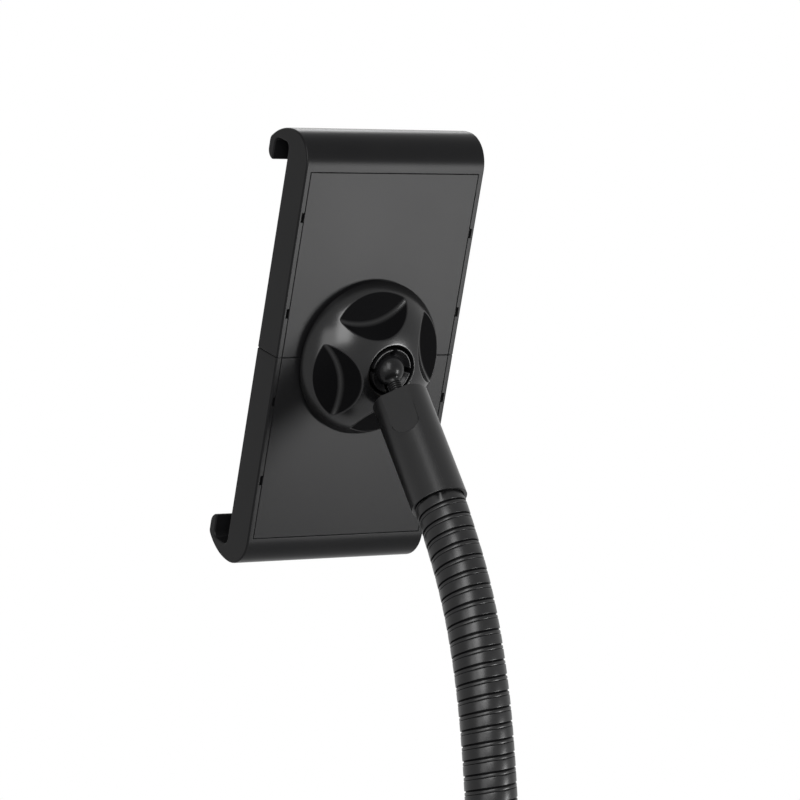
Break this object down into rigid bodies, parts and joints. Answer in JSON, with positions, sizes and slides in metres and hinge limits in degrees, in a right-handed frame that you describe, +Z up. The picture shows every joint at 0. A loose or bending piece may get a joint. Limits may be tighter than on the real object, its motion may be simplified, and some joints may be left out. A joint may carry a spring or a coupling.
{
  "type": "tablet floor stand",
  "caption": "Tablet floor stand with a weighted round base, a telescopic pole, a gooseneck, and a sprung two-jaw holder on a lockable ball joint",
  "frame": {"origin": "centre of the base's underside, on the floor and on the pole's axis", "axes": "+Z up along the pole, the tablet faces -Y, +X is the side with the height knob"},
  "size_m": [0.2938, 0.2982, 1.0677],
  "materials": {
    "rubber": "soft matte black rubber",
    "powder_coat": "fine-grained satin black powder coat on steel",
    "neck_finish": "satin black enamel on wound steel strip",
    "ball_finish": "smooth black oxide",
    "shell_plastic": "satin black moulded plastic",
    "knob_plastic": "satin black moulded plastic",
    "nylon": "black nylon",
    "steel": "zinc-plated steel",
    "brass": "turned brass"
  },
  "bodies": {
    "base": {"base_mat": "rubber", "base_weight": "powder_coat", "base_cover": "powder_coat", "base_bolt": "steel", "base_washer": "steel", "foot_collar": "knob_plastic", "outer_tube": "powder_coat", "tube_insert": "steel", "tube_bush": "nylon", "lock_collar": "knob_plastic"},
    "height_knob": {"height_knob": "knob_plastic"},
    "brake_shoe": {"clamp_screw": "steel", "brake_shoe": "nylon"},
    "mast": {"inner_tube": "powder_coat", "inner_tube_bush": "nylon", "neck_plug": "steel", "neck_ferrule": "powder_coat"},
    "link_1": {"neck_link_1": "neck_finish"},
    "link_2": {"neck_link_2": "neck_finish"},
    "link_3": {"neck_link_3": "neck_finish"},
    "link_4": {"neck_link_4": "neck_finish"},
    "link_5": {"neck_link_5": "neck_finish"},
    "link_6": {"neck_link_6": "neck_finish"},
    "link_7": {"neck_link_7": "neck_finish"},
    "sleeve": {"neck_sleeve": "neck_finish", "stud_insert": "brass"},
    "ball_stud": {"ball_stud": "ball_finish"},
    "ball_collet": {"ball_collet": "nylon"},
    "holder": {"pivot_plate": "shell_plastic", "plate_screws": "steel", "slide_frame": "nylon", "pinion_pin": "steel"},
    "lock_knob": {"lock_knob": "knob_plastic"},
    "pinion": {"pinion": "nylon", "return_spring": "steel"},
    "upper_jaw": {"upper_jaw": "shell_plastic", "upper_back_cover": "shell_plastic", "upper_rack": "nylon", "upper_rack_screw": "steel", "upper_lip_pad": "rubber", "upper_face_pad": "rubber"},
    "lower_jaw": {"lower_jaw": "shell_plastic", "lower_back_cover": "shell_plastic", "lower_rack": "nylon", "lower_rack_screw": "steel", "lower_lip_pad": "rubber", "lower_face_pad": "rubber"}
  },
  "joints": [
    {"name": "height_slide", "type": "slide", "parent": "base", "child": "mast", "axis": [0, 0, 1], "range_m": [0, 0.4]},
    {"name": "height_knob_turn", "type": "hinge", "parent": "base", "child": "height_knob", "pos_m": [0.0333, 0, 0.557], "axis": [1, 0, 0], "range_deg": [0, 260]},
    {"name": "brake_shoe_slide", "type": "slide", "parent": "base", "child": "brake_shoe", "axis": [1, 0, 0], "range_m": [0, 0.0009]},
    {"name": "neck_bend_1", "type": "hinge", "parent": "mast", "child": "link_1", "pos_m": [0, 0, 0.641], "axis": [1, 0, 0], "range_deg": [-20, 20]},
    {"name": "neck_sway_2", "type": "hinge", "parent": "link_1", "child": "link_2", "pos_m": [0, 0, 0.68], "axis": [0, 1, 0], "range_deg": [-20, 20]},
    {"name": "neck_bend_3", "type": "hinge", "parent": "link_2", "child": "link_3", "pos_m": [0, -0.0002, 0.719], "axis": [1, 0, 0], "range_deg": [-21, 18]},
    {"name": "neck_sway_4", "type": "hinge", "parent": "link_3", "child": "link_4", "pos_m": [0, -0.00122, 0.75799], "axis": [0, 0.9997, 0.0262], "range_deg": [-20, 20]},
    {"name": "neck_bend_5", "type": "hinge", "parent": "link_4", "child": "link_5", "pos_m": [0, -0.00395, 0.79689], "axis": [1, 0, 0], "range_deg": [-24, 16]},
    {"name": "neck_sway_6", "type": "hinge", "parent": "link_5", "child": "link_6", "pos_m": [0, -0.00937, 0.83551], "axis": [0, 0.9903, 0.1392], "range_deg": [-20, 20]},
    {"name": "neck_bend_7", "type": "hinge", "parent": "link_6", "child": "link_7", "pos_m": [0, -0.02045, 0.87291], "axis": [1, 0, 0], "range_deg": [-32, 8]},
    {"name": "neck_sway_8", "type": "hinge", "parent": "link_7", "child": "sleeve", "pos_m": [0, -0.03906, 0.90718], "axis": [0, 0.8788, 0.4772], "range_deg": [-20, 20]},
    {"name": "stud_pan", "type": "hinge", "parent": "sleeve", "child": "ball_stud", "pos_m": [0, -0.07924, 0.96499], "axis": [0, 0.5707, -0.8211], "continuous": true},
    {"name": "ball_tilt", "type": "hinge", "parent": "ball_stud", "child": "ball_collet", "pos_m": [0, -0.07924, 0.96499], "axis": [1, 0, 0], "range_deg": [-86, 8]},
    {"name": "holder_spin", "type": "hinge", "parent": "ball_collet", "child": "holder", "pos_m": [0, -0.09632, 0.97], "axis": [0, 0.9596, -0.2815], "continuous": true},
    {"name": "lock_knob_turn", "type": "hinge", "parent": "holder", "child": "lock_knob", "pos_m": [0, -0.09632, 0.97], "axis": [0, 0.9596, -0.2815], "range_deg": [0, 270]},
    {"name": "upper_jaw_slide", "type": "slide", "parent": "holder", "child": "upper_jaw", "axis": [0, 0.2815, 0.9596], "range_m": [0, 0.04], "stiffness_N_per_m": 150, "springref_m": -0.07},
    {"name": "lower_jaw_slide", "type": "slide", "parent": "holder", "child": "lower_jaw", "axis": [0, -0.2815, -0.9596], "range_m": [0, 0.04]},
    {"name": "pinion_spin", "type": "hinge", "parent": "holder", "child": "pinion", "pos_m": [0, -0.09632, 0.97], "axis": [0, 0.9596, -0.2815], "range_deg": [-1, 288]}
  ],
  "couplings": [
    {"joint": "height_knob_turn", "follows": "brake_shoe_slide", "rad_per_m": 5026.5},
    {"joint": "lower_jaw_slide", "follows": "upper_jaw_slide", "ratio": 1},
    {"joint": "pinion_spin", "follows": "upper_jaw_slide", "rad_per_m": 125}
  ]
}
